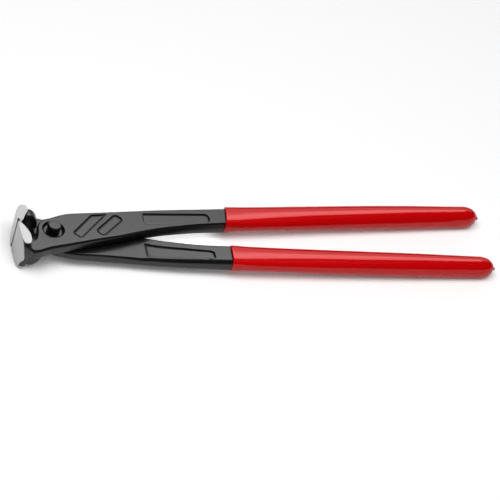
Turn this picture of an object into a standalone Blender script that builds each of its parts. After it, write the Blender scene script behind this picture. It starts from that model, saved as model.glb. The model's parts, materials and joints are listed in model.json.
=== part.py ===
"""Rebar tying pliers: two identical forged levers, one turned over on the other, a rivet and two grips.

Metres, +Z up. +X runs along the tool from the cutting edges to the grip ends, the joint plates lie
flat above and below the plane z = 0, and the origin is the centre of the whole tool, jaws closed.
"""

import math

import bmesh
import bpy
from mathutils import Vector

# Clearances
RUNNING_GAP = 0.0003
CUT_OVERRUN = 0.002

# Shading: edges that turn more than this stay sharp
STEEL_SMOOTH_DEGREES = 30
VINYL_SMOOTH_DEGREES = 35

# Whole tool
OVERALL_LENGTH = 0.300
CUTTER_WIDTH = 0.0247
PIVOT_SETBACK = 0.0224

# Jaw, measured from its front face and from the line where the cutting edges meet
JAW_TOP_DEPTH = 0.0064
JAW_FOOT_DEPTH = 0.0071
JAW_REACH = 0.0157
JAW_FOOT_EXTRA = 0.0003
JAW_BULGE = 0.0020
EDGE_SETBACK = 0.0012
EDGE_LAND = 0.0003
JAW_TOP_FALL = 0.0024
JAW_FOOT_FALL = 0.0025
JAW_CHAMFER = 0.0006
JAW_REACH_SHARES = (0.055, 0.15, 0.32, 0.50, 0.63, 0.75, 0.85, 0.94, 1.0)
JAW_FRONT_SHARES = (0.0, 0.0, 0.0, 0.0, 0.05, 0.13, 0.23, 0.37, 0.56)
JAW_BACK_SHARES = (0.36, 0.53, 0.76, 0.94, 1.0, 1.02, 1.02, 0.99, 0.90)

# Heel: the block behind the outer end of the jaw, on the far side of the lap plane from the plate
HEEL_DEPTH = 0.0143
HEEL_FOOT = 0.0095
HEEL_WIDTH = 0.0086
HEEL_SIDE_INSET = 0.0002
HEEL_CHAMFER = 0.0022
HEEL_ROOT_SHARE = 0.75
HEEL_HEIGHT_SHARES = (1.0, 0.90, 0.75, 0.50, 0.20)
HEEL_DEPTH_SHARES = (0.50, 0.69, 0.82, 0.93, 1.0)
HEEL_BACK_SHARES = (0.70, 0.86, 0.98, 1.0, 0.92, 0.62)
HEEL_SIDE_SHARES = (0.0, 0.10, 0.35, 0.66, 0.90, 1.0)
SWING_CLEARANCE = 0.0022

# Joint plate
PLATE_THICKNESS = 0.0067
PLATE_CORNER_SETBACK = 0.0073
PLATE_CORNER_OVERHANG = 0.0022
EYE_RADIUS = 0.0093
EYE_START_DEGREES = 180
EYE_END_DEGREES = 95
EYE_STEPS = 5
SHOULDER_SHARES = (0.55, 0.68)
EDGE_ROUNDING = 0.0008
ROOT_INSET = 0.0028
ROOT_SETBACK = 0.0046
HOLLOW_SETBACK_SHARES = (0.25, 0.60, 0.80, 0.91)
HOLLOW_REACH_SHARES = (0.54, 0.485, 0.34, 0.19)

# Arm, from the neck behind the joint to the mouth of the upper grip
NECK_SETBACK = 0.0126
NECK_OFFSET = 0.00115
NECK_WIDTH = 0.0245
MOUTH_OFFSET = 0.0164
MOUTH_WIDTH = 0.0108
MOUTH_THICKNESS = 0.0082
ARM_STEPS = 14
ARM_SEARCH_STEPS = 200
ARM_SHARES = (0.0, 0.14, 0.28, 0.42, 0.55, 0.68, 0.81, 1.0)
ARM_CENTRE_SHARES = (0.0, 0.142, 0.293, 0.475, 0.63, 0.755, 0.865, 1.0)
ARM_WIDTH_SHARES = (1.0, 0.82, 0.655, 0.43, 0.255, 0.135, 0.06, 0.0)
ARM_FLAT_SHARE = 0.15
ARM_SLOPE_POWER = 1.2
LAP_STEP = 0.0007
LAP_STEP_LENGTH = 0.007
FOOT_RAMP_POWER = 1.35
FOOT_ROUNDING = 0.0017

# Tang inside the grip
TANG_END_SETBACK = 0.0110
TANG_END_WIDTH = 0.0088
TANG_END_THICKNESS = 0.0068
TANG_STEPS = 6

# Grips
GRIP_LENGTH = 0.1658
LOWER_GRIP_EXTRA = 0.0033
TIP_OFFSET = 0.0218
GRIP_BOW_SHARE = 0.09
GRIP_MOUTH_WIDTH = 0.0129
GRIP_MOUTH_THICKNESS = 0.0108
GRIP_BELLY_WIDTH = 0.0152
GRIP_BELLY_THICKNESS = 0.0144
GRIP_END_WIDTH = 0.0138
GRIP_END_THICKNESS = 0.0136
GRIP_MOUTH_ROUNDING = 0.0020
GRIP_BELLY_SHARE = 0.52
GRIP_STEPS = 12
GRIP_DOME_LENGTH = 0.0120
GRIP_DOME_POWER = 1.9
GRIP_DOME_STEPS = 8
GRIP_CORNER_STEPS = 4
NIB_LENGTH = 0.0010
NIB_DIAMETER = 0.0024
NIB_TAPER_SHARE = 0.6

# Rivet
RIVET_HEAD_DIAMETER = 0.0081
RIVET_HEAD_STAND = 0.0039
RIVET_SHANK_DIAMETER = 0.0064
RIVET_TAIL_DIAMETER = 0.0092
RIVET_TAIL_STAND = 0.0006
RIVET_CHAMFER = 0.0007
SPOTFACE_DIAMETER = 0.0122
SPOTFACE_RIM_DIAMETER = 0.0137
SPOTFACE_DEPTH = 0.0020
ROUND_STEPS = 48

# Long sunken panels on the arm: one on the outer face, one on the face that looks at the other lever
PANEL_DEPTH = 0.0004
PANEL_ROUND_LENGTH = 0.0035
PANEL_STEPS = 6
PANEL_ROUND_STEPS = 5
OUTER_PANEL_START_SHARE = 0.47
OUTER_PANEL_END_SHARE = 0.88
OUTER_PANEL_NEAR_SHARES = (0.40, 0.13)
OUTER_PANEL_FAR_SHARES = (0.86, 0.68)
INNER_PANEL_START_SHARE = 0.47
INNER_PANEL_END_SHARE = 0.86
INNER_PANEL_NEAR_SHARES = (0.28, 0.46)
INNER_PANEL_FAR_SHARES = (0.90, 0.87)

# Worked out from the sizes above, along X from the joint's axis
JAW_FRONT = -PIVOT_SETBACK
PLATE_CORNER_REACH = JAW_REACH + PLATE_CORNER_OVERHANG
NECK = NECK_SETBACK
MOUTH = OVERALL_LENGTH - PIVOT_SETBACK - GRIP_LENGTH
TIP = OVERALL_LENGTH - PIVOT_SETBACK
TANG_END = TIP - TANG_END_SETBACK
PIVOT = Vector((PIVOT_SETBACK - OVERALL_LENGTH / 2, 0, 0))
LAP_FACE = RUNNING_GAP / 2


def mix(start, end, share):
    """The value a share of the way from start to end."""
    return start + (end - start) * share


def ease(share):
    """A share between 0 and 1 that starts and ends level."""
    share = min(max(share, 0), 1)
    return share * share * (3 - 2 * share)


def curve(places, values, place):
    """The value at a place, on a smooth curve through hand-chosen values (a Catmull-Rom spline)."""
    last = len(places) - 1
    index = 0
    while index < last - 1 and place > places[index + 1]:
        index += 1
    span = places[index + 1] - places[index]
    share = (place - places[index]) / span
    slopes = []
    for point in (index, index + 1):
        before = max(point - 1, 0)
        after = min(point + 1, last)
        slopes.append((values[after] - values[before]) / (places[after] - places[before]) * span)
    rise = values[index + 1] - values[index]
    cube = slopes[0] + slopes[1] - 2 * rise
    square = 3 * rise - 2 * slopes[0] - slopes[1]
    return values[index] + slopes[0] * share + square * share ** 2 + cube * share ** 3


def material(name, colour, roughness, metallic):
    """A Principled material in one plain colour."""
    made = bpy.data.materials.new(name)
    made.use_nodes = True
    shader = made.node_tree.nodes["Principled BSDF"]
    shader.inputs["Base Color"].default_value = (*colour, 1)
    shader.inputs["Roughness"].default_value = roughness
    shader.inputs["Metallic"].default_value = metallic
    made.diffuse_color = (*colour, 1)
    return made


def loft(name, rings):
    """An object with one closed skin through rings of points, with a cap of triangles on each end."""
    bm = bmesh.new()
    loops = [[bm.verts.new(point) for point in ring] for ring in rings]
    for near, far in zip(loops, loops[1:]):
        for here in range(len(near)):
            after = (here + 1) % len(near)
            bm.faces.new((near[here], near[after], far[after], far[here]))
    caps = [bm.faces.new(reversed(loops[0])), bm.faces.new(loops[-1])]
    bmesh.ops.poke(bm, faces=caps)
    bmesh.ops.recalc_face_normals(bm, faces=bm.faces)
    mesh = bpy.data.meshes.new(name)
    bm.to_mesh(mesh)
    bm.free()
    made = bpy.data.objects.new(name, mesh)
    bpy.context.collection.objects.link(made)
    return made


def turned(name, profile):
    """An object turned about Z from a profile of (radius, height) pairs, lowest first."""
    rings = []
    for radius, height in profile:
        angles = [math.tau * step / ROUND_STEPS for step in range(ROUND_STEPS)]
        rings.append([(radius * math.cos(a), radius * math.sin(a), height) for a in angles])
    return loft(name, rings)


def guide(made, parent):
    """Hides a piece that only cuts or joins another, and carries it on its lever."""
    made.hide_render = True
    made.display_type = "WIRE"
    made.parent = parent
    return made


def combine(target, operand, operation):
    """Adds a live Boolean of operand to target."""
    modifier = target.modifiers.new(operand.name, "BOOLEAN")
    modifier.operation = operation
    modifier.solver = "EXACT"
    modifier.object = operand


def finish(made, parent, look, smooth_degrees):
    """Puts a piece on its lever's empty, gives it its material and shades its round parts smooth."""
    made.parent = parent
    made.data.materials.append(look)
    made.data.shade_smooth()
    made.data.set_sharp_from_angle(angle=math.radians(smooth_degrees))
    return made


def arm_share(x):
    """How far x lies from the neck (0) to the mouth of the upper grip (1)."""
    return (x - NECK) / (MOUTH - NECK)


def centre_line(x):
    """The middle of the arm and tang at x: curved from neck to mouth, then bowed from mouth to tip."""
    share = arm_share(x)
    if share <= 1:
        return mix(NECK_OFFSET, MOUTH_OFFSET, curve(ARM_SHARES, ARM_CENTRE_SHARES, share))
    share = (x - MOUTH) / (TIP - MOUTH)
    return mix(MOUTH_OFFSET, TIP_OFFSET, share + GRIP_BOW_SHARE * math.sin(math.pi * share))


def arm_width(x):
    """The width of the arm and tang at x."""
    share = arm_share(x)
    if share <= 1:
        return mix(MOUTH_WIDTH, NECK_WIDTH, curve(ARM_SHARES, ARM_WIDTH_SHARES, share))
    return mix(MOUTH_WIDTH, TANG_END_WIDTH, (x - MOUTH) / (TANG_END - MOUTH))


def arm_edges(x):
    """The inner and the outer edge of the arm at x, as y."""
    half = arm_width(x) / 2
    return centre_line(x) - half, centre_line(x) + half


def drop_start():
    """Where the arm has left the other lever's arm behind, and may sink to the middle plane."""
    for step in range(ARM_SEARCH_STEPS):
        x = mix(NECK, MOUTH, step / ARM_SEARCH_STEPS)
        if arm_edges(x)[0] > RUNNING_GAP:
            return x
    return MOUTH


DROP_START = drop_start()


def top_height(x):
    """The outer face: level over the joint, then sloping to the half thickness at the mouth."""
    share = arm_share(x)
    if share > 1:
        return mix(MOUTH_THICKNESS, TANG_END_THICKNESS, (x - MOUTH) / (TANG_END - MOUTH)) / 2
    slope = max(share - ARM_FLAT_SHARE, 0) / (1 - ARM_FLAT_SHARE)
    return mix(PLATE_THICKNESS, MOUTH_THICKNESS / 2, slope ** ARM_SLOPE_POWER)


def foot_height(x):
    """The inner face: on the lap plane until the arms part, a small step, then a ramp to the mouth."""
    if x > MOUTH:
        return -top_height(x)
    step = LAP_FACE - LAP_STEP * ease((x - DROP_START) / LAP_STEP_LENGTH)
    ramp = max(x - DROP_START, 0) / (MOUTH - DROP_START)
    return mix(step, -MOUTH_THICKNESS / 2, ramp ** FOOT_RAMP_POWER)


def foot_rounding(x):
    """The rounding of the inner face's edges: small on the lap face, larger along the free arm."""
    return mix(EDGE_ROUNDING, FOOT_ROUNDING, ease((x - DROP_START) / LAP_STEP_LENGTH / 2))


def bar_section(inner, outer, low, high, low_rounding, high_rounding):
    """A rounded rectangle standing on the line from inner to outer, as 12 points."""
    inner = Vector(inner)
    outer = Vector(outer)
    across = (outer - inner).normalized()
    corners = ((inner, across, low, 1, low_rounding), (outer, -across, low, 1, low_rounding),
               (outer, -across, high, -1, high_rounding), (inner, across, high, -1, high_rounding))
    points = []
    for index, (place, inward, height, up, rounding) in enumerate(corners):
        quarter = []
        for angle in (0, math.pi / 4, math.pi / 2):
            reach = place + inward * rounding * (1 - math.cos(angle))
            quarter.append((reach.x, reach.y, height + up * rounding * (1 - math.sin(angle))))
        points.extend(quarter if index % 2 == 0 else reversed(quarter))
    return points


def plate_rings():
    """Sections across the joint plate, from inside the jaw to the neck.

    Each runs from the straight near edge to the edge that faces the hollow, then the round eye.
    """
    jaw_back = JAW_FRONT + JAW_TOP_DEPTH
    corner = Vector((JAW_FRONT + PLATE_CORNER_SETBACK, -PLATE_CORNER_REACH))
    neck_inner = Vector((NECK, arm_edges(NECK)[0]))
    neck_outer = Vector((NECK, arm_edges(NECK)[1]))
    root_x = JAW_FRONT + ROOT_SETBACK
    outer = []
    for setback_share, reach_share in zip(HOLLOW_SETBACK_SHARES, HOLLOW_REACH_SHARES):
        x = mix(jaw_back, -EYE_RADIUS, setback_share)
        outer.append(Vector((x, -PLATE_CORNER_REACH * reach_share)))
    for step in range(EYE_STEPS):
        angle = math.radians(mix(EYE_START_DEGREES, EYE_END_DEGREES, step / (EYE_STEPS - 1)))
        outer.append(Vector((math.cos(angle), math.sin(angle))) * EYE_RADIUS)
    along, across = SHOULDER_SHARES
    outer.append(Vector((mix(outer[-1].x, neck_outer.x, along), mix(outer[-1].y, neck_outer.y, across))))
    outer.append(neck_outer)
    sections = [((root_x, -PLATE_CORNER_REACH + ROOT_INSET), (root_x, outer[0].y))]
    for index, edge in enumerate(outer):
        sections.append((corner.lerp(neck_inner, index / (len(outer) - 1)), edge))
    return [bar_section(inner, far, LAP_FACE, PLATE_THICKNESS, EDGE_ROUNDING, EDGE_ROUNDING)
            for inner, far in sections]


def arm_ring(x):
    """The arm's or tang's section at x."""
    inner, outer = arm_edges(x)
    return bar_section((x, inner), (x, outer), foot_height(x), top_height(x), foot_rounding(x), EDGE_ROUNDING)


def jaw_wall(name):
    """The jaw: a wall that thickens from the cutting edge outwards, with sloping ground ends.

    Its outer side bulges at the height of the joint plates.
    """
    half = CUTTER_WIDTH / 2
    edge = JAW_FRONT + EDGE_SETBACK
    sections = [(0, edge - EDGE_LAND / 2, edge + EDGE_LAND / 2, edge + EDGE_LAND / 2)]
    for reach_share, front_share, back_share in zip(JAW_REACH_SHARES, JAW_FRONT_SHARES, JAW_BACK_SHARES):
        front = JAW_FRONT + JAW_TOP_DEPTH * front_share
        top_back = JAW_FRONT + JAW_TOP_DEPTH * back_share
        foot_back = JAW_FRONT + JAW_FOOT_DEPTH * back_share
        sections.append((reach_share, front, top_back, foot_back))
    rings = []
    for share, front, top_back, foot_back in sections:
        reach = max(JAW_REACH * share, RUNNING_GAP / 2)
        foot_reach = reach + JAW_FOOT_EXTRA * share
        side = reach + JAW_BULGE * share ** 2
        top = half - JAW_TOP_FALL * share
        foot = -half + JAW_FOOT_FALL * share
        chamfer = min(JAW_CHAMFER, (top_back - front) / 2)
        rings.append([(front, -foot_reach, foot), (foot_back - chamfer, -foot_reach, foot),
                      (foot_back, -foot_reach, foot + chamfer), (foot_back, -side, -PLATE_THICKNESS),
                      (top_back, -side, PLATE_THICKNESS), (top_back, -reach, top - chamfer),
                      (top_back - chamfer, -reach, top), (front, -reach, top),
                      (front, -side, PLATE_THICKNESS), (front, -side, -PLATE_THICKNESS)])
    return loft(name, rings)


def heel(name):
    """The block behind the jaw's outer end, below the plate, as a stack of plan outlines."""
    outside = HEEL_SIDE_INSET - JAW_REACH
    inside = outside + HEEL_WIDTH
    middle = JAW_FRONT + JAW_TOP_DEPTH * HEEL_ROOT_SHARE
    levels = [(-HEEL_FOOT * height, depth) for height, depth in zip(HEEL_HEIGHT_SHARES, HEEL_DEPTH_SHARES)]
    levels.append((PLATE_THICKNESS / 2, 1))
    rings = []
    for height, depth_share in levels:
        back = mix(middle, JAW_FRONT + HEEL_DEPTH, depth_share)
        side = outside + HEEL_CHAMFER * (1 - depth_share)
        outline = [(middle, inside)]
        for back_share, side_share in zip(HEEL_BACK_SHARES, HEEL_SIDE_SHARES):
            outline.append((mix(middle, back, back_share), mix(inside, side, side_share)))
        outline.append((middle, side))
        rings.append([(x, y, height) for x, y in outline])
    return loft(name, rings)


def panel_cutter(name, start_share, end_share, near_shares, far_shares, face, side):
    """A shallow panel with one round end: its floor follows the face at an even depth."""
    start = mix(NECK, MOUTH, start_share)
    end = mix(NECK, MOUTH, end_share)
    straight = end - PANEL_ROUND_LENGTH
    stations = [(mix(start, straight, step / PANEL_STEPS), 1) for step in range(PANEL_STEPS + 1)]
    for step in range(1, PANEL_ROUND_STEPS):
        angle = math.pi / 2 * step / PANEL_ROUND_STEPS
        stations.append((straight + PANEL_ROUND_LENGTH * math.sin(angle), math.cos(angle)))
    rings = []
    for x, fullness in stations:
        inner, outer = arm_edges(x)
        share = (x - start) / (end - start)
        near = mix(inner, outer, mix(near_shares[0], near_shares[1], share))
        far = mix(inner, outer, mix(far_shares[0], far_shares[1], share))
        middle = (near + far) / 2
        half = (far - near) / 2 * fullness
        floor = face(x) - side * PANEL_DEPTH
        above = face(x) + side * CUT_OVERRUN
        rings.append([(x, middle - half, floor), (x, middle + half, floor),
                      (x, middle + half, above), (x, middle - half, above)])
    return loft(name, rings)


def lever(name, empty, look):
    """One forging: plate, arm and tang in one bar, with its jaw and heel joined and its cuts made."""
    rings = plate_rings()
    for step in range(1, ARM_STEPS + 1):
        rings.append(arm_ring(mix(NECK, MOUTH, step / ARM_STEPS)))
    for step in range(1, TANG_STEPS + 1):
        rings.append(arm_ring(mix(MOUTH, TANG_END, step / TANG_STEPS)))
    made = loft(name, rings)
    combine(made, guide(jaw_wall(name + "_jaw"), empty), "UNION")
    block = guide(heel(name + "_heel"), empty)
    swing = EYE_RADIUS + SWING_CLEARANCE
    sweep = guide(turned(name + "_sweep", ((swing, -CUTTER_WIDTH), (swing, LAP_FACE))), empty)
    combine(block, sweep, "DIFFERENCE")
    combine(made, block, "UNION")
    spotface_floor = PLATE_THICKNESS - SPOTFACE_DEPTH
    spotface_profile = ((SPOTFACE_DIAMETER / 2, spotface_floor),
                        (SPOTFACE_RIM_DIAMETER / 2, PLATE_THICKNESS),
                        (SPOTFACE_RIM_DIAMETER / 2, PLATE_THICKNESS + CUT_OVERRUN))
    combine(made, guide(turned(name + "_spotface", spotface_profile), empty), "DIFFERENCE")
    hole_radius = RIVET_SHANK_DIAMETER / 2 + RUNNING_GAP
    hole_profile = ((hole_radius, -CUT_OVERRUN), (hole_radius, PLATE_THICKNESS + CUT_OVERRUN))
    combine(made, guide(turned(name + "_hole", hole_profile), empty), "DIFFERENCE")
    outer_panel = panel_cutter(name + "_outer_panel", OUTER_PANEL_START_SHARE, OUTER_PANEL_END_SHARE,
                               OUTER_PANEL_NEAR_SHARES, OUTER_PANEL_FAR_SHARES, top_height, 1)
    combine(made, guide(outer_panel, empty), "DIFFERENCE")
    inner_panel = panel_cutter(name + "_inner_panel", INNER_PANEL_START_SHARE, INNER_PANEL_END_SHARE,
                               INNER_PANEL_NEAR_SHARES, INNER_PANEL_FAR_SHARES, foot_height, -1)
    combine(made, guide(inner_panel, empty), "DIFFERENCE")
    return finish(made, empty, look, STEEL_SMOOTH_DEGREES)


def grip_ring(x, mouth):
    """The grip's section at x: a box with rounded corners that swells into an oval, then a dome."""
    share = (x - mouth) / (TIP - NIB_LENGTH - mouth)
    swell = ease(share / GRIP_BELLY_SHARE)
    fade = ease((share - GRIP_BELLY_SHARE) / (1 - GRIP_BELLY_SHARE))
    width = mix(mix(GRIP_MOUTH_WIDTH, GRIP_BELLY_WIDTH, swell), GRIP_END_WIDTH, fade) / 2
    thickness = mix(mix(GRIP_MOUTH_THICKNESS, GRIP_BELLY_THICKNESS, swell), GRIP_END_THICKNESS, fade) / 2
    full_round = min(width, thickness)
    rounding = mix(GRIP_MOUTH_ROUNDING, full_round, min(share / GRIP_BELLY_SHARE, 1))
    into_dome = (x - (TIP - NIB_LENGTH - GRIP_DOME_LENGTH)) / GRIP_DOME_LENGTH
    dome = math.sqrt(1 - min(max(into_dome, 0), 1) ** GRIP_DOME_POWER)
    smallest = NIB_DIAMETER / 2 / full_round
    dome = max(dome, smallest)
    centre = centre_line(x)
    points = []
    for corner in range(4):
        side = 1 if corner in (0, 3) else -1
        up = 1 if corner in (0, 1) else -1
        for step in range(GRIP_CORNER_STEPS + 1):
            angle = math.pi / 2 * (corner + step / (GRIP_CORNER_STEPS + 1))
            y = side * (width - rounding) + rounding * math.cos(angle)
            z = up * (thickness - rounding) + rounding * math.sin(angle)
            points.append((x, centre + y * dome, z * dome))
    return points


def grip(name, empty, look, length):
    """A dipped sleeve over the tang, with a domed end, a drip nib and a cavity that fits the tang."""
    mouth = TIP - length
    dome_start = TIP - NIB_LENGTH - GRIP_DOME_LENGTH
    places = [mix(mouth, dome_start, step / GRIP_STEPS) for step in range(GRIP_STEPS)]
    for step in range(GRIP_DOME_STEPS + 1):
        places.append(dome_start + GRIP_DOME_LENGTH * math.sin(math.pi / 2 * step / GRIP_DOME_STEPS))
    rings = [grip_ring(x, mouth) for x in places]
    root = rings[-1]
    centre = Vector((TIP, centre_line(TIP), 0))
    nib = []
    for point in root:
        spoke = (Vector(point) - Vector((places[-1], centre_line(places[-1]), 0))) * NIB_TAPER_SHARE
        nib.append(tuple(centre + spoke))
    rings.append(nib)
    made = loft(name, rings)
    cavity_start = mouth - CUT_OVERRUN
    cavity = []
    for step in range(ARM_STEPS + 1):
        x = mix(cavity_start, TANG_END, step / ARM_STEPS)
        inner, outer = arm_edges(x)
        low = foot_height(x) - RUNNING_GAP
        high = top_height(x) + RUNNING_GAP
        place = x + RUNNING_GAP if step == ARM_STEPS else x
        cavity.append(bar_section((place, inner - RUNNING_GAP), (place, outer + RUNNING_GAP), low, high,
                                  foot_rounding(x), EDGE_ROUNDING))
    combine(made, guide(loft(name + "_cavity", cavity), empty), "DIFFERENCE")
    return finish(made, empty, look, VINYL_SMOOTH_DEGREES)


def rivet(name, empty, look):
    """The joint rivet: tail, shank and standing head, each with a small chamfer."""
    seat = PLATE_THICKNESS - SPOTFACE_DEPTH
    head = RIVET_HEAD_DIAMETER / 2
    tail = RIVET_TAIL_DIAMETER / 2
    shank = RIVET_SHANK_DIAMETER / 2
    head_top = PLATE_THICKNESS + RIVET_HEAD_STAND
    tail_foot = -PLATE_THICKNESS - RIVET_TAIL_STAND
    profile = ((tail - RIVET_CHAMFER, tail_foot), (tail, tail_foot + RIVET_CHAMFER),
               (tail, -seat - RUNNING_GAP), (shank, -seat - RUNNING_GAP),
               (shank, seat + RUNNING_GAP), (head, seat + RUNNING_GAP),
               (head, head_top - RIVET_CHAMFER), (head - RIVET_CHAMFER, head_top))
    return finish(turned(name, profile), empty, look, STEEL_SMOOTH_DEGREES)


def joint_empty(name, turn):
    """An empty on the joint's axis; the lower lever's is turned over about X."""
    made = bpy.data.objects.new(name, None)
    made.location = PIVOT
    made.rotation_euler = (turn, 0, 0)
    bpy.context.collection.objects.link(made)
    return made


def build():
    for old in list(bpy.data.objects):
        bpy.data.objects.remove(old)
    steel = material("oxide_steel", (0.13, 0.13, 0.135), 0.45, 0.6)
    bright = material("rivet_steel", (0.16, 0.16, 0.165), 0.4, 0.7)
    vinyl = material("red_vinyl", (0.45, 0.004, 0.008), 0.25, 0.0)
    upper = joint_empty("upper_side", 0)
    lower = joint_empty("lower_side", math.pi)
    lever("upper_lever", upper, steel)
    lever("lower_lever", lower, steel)
    rivet("joint_rivet", upper, bright)
    grip("upper_grip", upper, vinyl, GRIP_LENGTH)
    grip("lower_grip", lower, vinyl, GRIP_LENGTH + LOWER_GRIP_EXTRA)


build()
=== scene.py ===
# %% [markdown]
# # Rebar tying pliers
# Two black forged levers lap on a rivet. Their jaws end in ground cutting edges across the nose, and
# their arms end in glossy red dipped grips. The CAD model fixes every size and the joint. This
# script dresses it: each forging is made again as a fine surface with its draft, roundings and
# sunken panels, and gets a worn oxide finish. All shapes are worked out in millimetres from the
# joint's axis, then moved to the CAD's place.

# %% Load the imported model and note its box
import json
import math

import bmesh
import bpy
import numpy as np
from mathutils import Matrix, Vector


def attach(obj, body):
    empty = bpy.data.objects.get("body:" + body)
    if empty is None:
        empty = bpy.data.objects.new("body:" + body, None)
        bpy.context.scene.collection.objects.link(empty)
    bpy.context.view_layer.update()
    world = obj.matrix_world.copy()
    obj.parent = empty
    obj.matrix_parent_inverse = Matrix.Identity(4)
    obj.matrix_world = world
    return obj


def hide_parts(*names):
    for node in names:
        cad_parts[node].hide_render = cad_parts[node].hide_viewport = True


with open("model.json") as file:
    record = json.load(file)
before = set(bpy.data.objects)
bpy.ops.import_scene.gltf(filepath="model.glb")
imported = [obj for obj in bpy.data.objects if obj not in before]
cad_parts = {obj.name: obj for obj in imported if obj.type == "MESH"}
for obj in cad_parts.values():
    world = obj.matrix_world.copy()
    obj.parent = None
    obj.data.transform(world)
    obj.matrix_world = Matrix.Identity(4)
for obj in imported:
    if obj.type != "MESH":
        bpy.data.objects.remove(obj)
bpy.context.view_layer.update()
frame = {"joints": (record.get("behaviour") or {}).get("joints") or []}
MM = 0.001
pivot = np.array(frame["joints"][0]["pos_m"]) / MM
print("joint axis at", pivot, "mm")

# %% [markdown]
# Every smooth edge of the forging is a curve through a few measured points. A cubic that passes
# through each point with the slope of its neighbours (Catmull-Rom) needs no control handles, and
# numpy works it out for a whole row of places at once.

# %% Curves through measured points
def ease(share):
    """A share held between 0 and 1 that starts and ends level: 3 s squared less 2 s cubed."""
    share = np.clip(share, 0, 1)
    return share * share * (3 - 2 * share)


def mix(start, end, share):
    """The value a share of the way from start to end."""
    return start + (end - start) * share


def curve(places, values, at):
    """Cubic through the values: each piece starts and ends with the slope between its neighbours."""
    places = np.asarray(places, float)
    values = np.asarray(values, float)
    before = np.maximum(np.arange(len(places)) - 1, 0)
    after = np.minimum(np.arange(len(places)) + 1, len(places) - 1)
    wide = (places[after] - places[before]).reshape((-1,) + (1,) * (values.ndim - 1))
    slopes = (values[after] - values[before]) / wide
    at = np.asarray(at, float)
    piece = np.clip(np.searchsorted(places, at, side="right") - 1, 0, len(places) - 2)
    shape = at.shape + (1,) * (values.ndim - 1)
    span = (places[piece + 1] - places[piece]).reshape(shape)
    s = ((at - places[piece]) / (places[piece + 1] - places[piece])).reshape(shape)
    rise = values[piece + 1] - values[piece]
    start, end = slopes[piece] * span, slopes[piece + 1] * span
    square, cube = 3 * rise - 2 * start - end, start + end - 2 * rise
    return values[piece] + start * s + square * s ** 2 + cube * s ** 3


# %% [markdown]
# A grid of points becomes a mesh by joining each point to the next one along both directions. The
# second direction closes on itself. A tube is closed by a point at each end, and a flat end by
# rungs, like a ladder, between the two sides of its outline.

# %% Meshes from grids
def wall_faces(rows, columns):
    """Quads of a grid that closes round its columns, as indices."""
    near = np.arange(rows - 1)[:, None] * columns + np.arange(columns)[None, :]
    turn = np.arange(rows - 1)[:, None] * columns + (np.arange(columns) + 1)[None, :] % columns
    return np.stack([near, turn, turn + columns, near + columns], -1).reshape(-1, 4)


def mesh_object(name, points, quads, triangles=()):
    """A mesh object from points in millimetres and index arrays, linked and shaded smooth."""
    mesh = bpy.data.meshes.new(name)
    faces = np.asarray(quads).tolist() + np.asarray(triangles).reshape(-1, 3).tolist()
    mesh.from_pydata((np.asarray(points).reshape(-1, 3) * MM).tolist(), [], faces)
    mesh.validate()
    mesh.shade_smooth()
    made = bpy.data.objects.new(name, mesh)
    bpy.context.scene.collection.objects.link(made)
    return made


def tube(name, grid):
    """A closed skin through a grid of rings, with the middle of each end ring as its closing point."""
    rows, columns = grid.shape[:2]
    points = np.concatenate([grid.reshape(-1, 3), grid[:1].mean(1), grid[-1:].mean(1)])
    here = np.arange(columns)
    turn = (here + 1) % columns
    first = np.stack([turn, here, np.full(columns, rows * columns)], -1)
    last_row = (rows - 1) * columns
    last = np.stack([last_row + here, last_row + turn, np.full(columns, rows * columns + 1)], -1)
    return mesh_object(name, points, wall_faces(rows, columns), np.concatenate([first, last]))


def block(name, grid):
    """A closed skin through rings whose first and last are flat, closed by rungs from side to side."""
    rows, columns = grid.shape[:2]
    left = np.arange(0, columns // 2)
    right = (columns - left) % columns
    rungs = np.stack([left, right, (columns - left - 1) % columns, left + 1], -1)[1:-1]
    caps = np.concatenate([rungs, rungs[:, ::-1] + (rows - 1) * columns])
    ends = np.array([[0, columns - 1, 1], [columns // 2 - 1, columns // 2 + 1, columns // 2]])
    ends = np.concatenate([ends, ends[:, ::-1] + (rows - 1) * columns])
    return mesh_object(name, grid, np.concatenate([wall_faces(rows, columns), caps]), ends)


# %% [markdown]
# The bar of each lever is plate, eye, arm and the start of the tang in one. In plan it lies between
# a near edge and a far edge. The same stations were measured on both, so a section stands on the
# line between the two points of a station.

# %% The bar's plan
PLATE_NEAR = np.linspace((-15.1, -17.9), (12.6, -11.1), 11)
NEAR_SWELL = (0.5, 1.0, 0.9, 0.4)
PLATE_NEAR[:4, 1] -= NEAR_SWELL
PLATE_FAR = np.array([(-14.32, -9.67), (-11.98, -8.68), (-10.64, -6.09), (-9.9, -3.4), (-9.3, 0),
                      (-8.67, 3.37), (-6.86, 6.28), (-4.11, 8.34), (-0.81, 9.26), (6.57, 12.08),
                      (12.6, 13.4)])
ROOT_NEAR, ROOT_FAR = (-17.8, -15.1), (-17.8, -9.67)
ARM_X = np.array([26.5, 40.4, 54.3, 67.2, 80.1, 93.0, 111.8, 113.8])
ARM_CENTRE = np.array([3.32, 5.67, 8.56, 11.0, 12.81, 14.44, 16.4, 16.55])
ARM_WIDTH = np.array([22.03, 20.07, 17.52, 15.66, 14.35, 13.22, 12.6, 12.55])
arm_near = np.stack([ARM_X, ARM_CENTRE - ARM_WIDTH / 2], -1)
arm_far = np.stack([ARM_X, ARM_CENTRE + ARM_WIDTH / 2], -1)
near_points = np.concatenate([[ROOT_NEAR], PLATE_NEAR, arm_near])
far_points = np.concatenate([[ROOT_FAR], PLATE_FAR, arm_far])
middle = (near_points + far_points) / 2
stations = np.concatenate([[0], np.cumsum(np.linalg.norm(np.diff(middle, axis=0), axis=1))])
print("bar:", len(stations), "stations over", round(stations[-1], 1), "mm")

# %% [markdown]
# Over the joint the bar is a level plate. Past it the outer face slopes down and the inner face,
# where the arms have parted, drops below the lap, so that both grips lie in the middle plane.

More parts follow.
